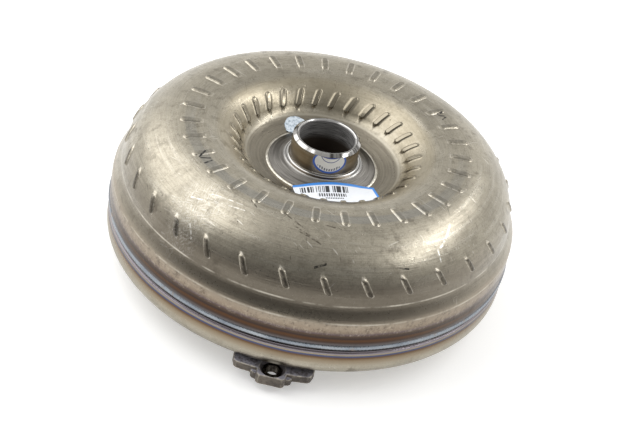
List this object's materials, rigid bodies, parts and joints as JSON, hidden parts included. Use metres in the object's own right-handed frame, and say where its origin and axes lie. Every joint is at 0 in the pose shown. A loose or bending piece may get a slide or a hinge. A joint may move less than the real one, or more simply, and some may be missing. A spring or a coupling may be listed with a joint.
{
  "type": "torque converter",
  "caption": "Welded lock-up torque converter with impeller, turbine, stator on a roller clutch, and a lock-up piston with a spring damper.",
  "frame": {"origin": "centre of the crank pilot's end face, on the axis", "axes": "+Z along the axis from the engine side to the transmission side; one mounting lug points to -Y"},
  "size_m": [0.2875, 0.2943, 0.1091],
  "materials": {
    "pressed_steel": "bare pressed steel with light scratches and heat tint",
    "pilot_steel": "turned",
    "lug_steel": "forged, dark heat tint",
    "weld_steel": "as welded",
    "hub_steel": "ground and polished",
    "sheet_steel": "plain",
    "hardened_steel": "ground",
    "bright_steel": "polished",
    "spring_steel": "drawn wire",
    "cast_aluminium": "die cast",
    "bronze_cage": "pressed",
    "phenolic": "moulded",
    "friction_paper": "oil-soaked friction paper",
    "seal_ptfe": "smooth",
    "paper": "printed paper"
  },
  "bodies": {
    "housing": {"front_cover": "pressed_steel", "crank_pilot": "pilot_steel", "mounting_lugs": "lug_steel", "rim_weld": "weld_steel", "impeller_shell": "pressed_steel", "impeller_hub": "hub_steel", "hub_weld": "weld_steel", "impeller_blades": "sheet_steel", "impeller_core_ring": "sheet_steel", "pump_drive_socket": "hardened_steel", "front_thrust_washer": "phenolic", "rear_bearing_race": "bright_steel", "bowl_label": "paper", "inspection_dot": "paper"},
    "turbine": {"turbine_shell": "sheet_steel", "turbine_blades": "sheet_steel", "turbine_core_ring": "sheet_steel", "turbine_hub": "hardened_steel", "turbine_rivets": "bright_steel", "front_bearing_race": "bright_steel", "piston_seal": "seal_ptfe"},
    "damper_plate": {"damper_hub_plate": "hardened_steel"},
    "piston": {"lockup_piston": "sheet_steel", "friction_lining": "friction_paper", "spring_retainer": "hardened_steel", "retainer_rivets": "bright_steel", "damper_springs": "spring_steel"},
    "stator": {"stator_wheel": "cast_aluminium", "clutch_outer_race": "hardened_steel", "clutch_rollers": "bright_steel", "clutch_springs": "spring_steel", "front_clutch_cap": "phenolic", "rear_clutch_cap": "phenolic", "clutch_snap_ring": "spring_steel", "stator_front_race": "bright_steel", "stator_rear_race": "bright_steel"},
    "inner_race": {"clutch_inner_race": "hardened_steel"},
    "front_bearing": {"front_bearing_cage": "bronze_cage", "front_bearing_needles": "bright_steel"},
    "rear_bearing": {"rear_bearing_cage": "bronze_cage", "rear_bearing_needles": "bright_steel"}
  },
  "joints": [
    {"name": "turbine_spin", "type": "hinge", "parent": "housing", "child": "turbine", "pos_m": [0, 0, 0.05], "axis": [0, 0, 1], "continuous": true},
    {"name": "lockup_slide", "type": "slide", "parent": "turbine", "child": "damper_plate", "axis": [0, 0, 1], "range_m": [0, 0.001]},
    {"name": "damper_twist", "type": "hinge", "parent": "damper_plate", "child": "piston", "pos_m": [0, 0, 0.05], "axis": [0, 0, 1], "range_deg": [-6, 6], "deforming": ["damper_springs"]},
    {"name": "stator_spin", "type": "hinge", "parent": "housing", "child": "stator", "pos_m": [0, 0, 0.05], "axis": [0, 0, 1], "continuous": true},
    {"name": "inner_race_spin", "type": "hinge", "parent": "stator", "child": "inner_race", "pos_m": [0, 0, 0.05], "axis": [0, 0, 1], "continuous": true},
    {"name": "rear_bearing_spin", "type": "hinge", "parent": "housing", "child": "rear_bearing", "pos_m": [0, 0, 0.05], "axis": [0, 0, 1], "continuous": true},
    {"name": "front_bearing_spin", "type": "hinge", "parent": "stator", "child": "front_bearing", "pos_m": [0, 0, 0.05], "axis": [0, 0, 1], "continuous": true}
  ],
  "couplings": [
    {"joint": "rear_bearing_spin", "follows": "stator_spin", "ratio": 0.5},
    {"joint": "front_bearing_spin", "follows": "turbine_spin", "ratio": 0.5}
  ]
}
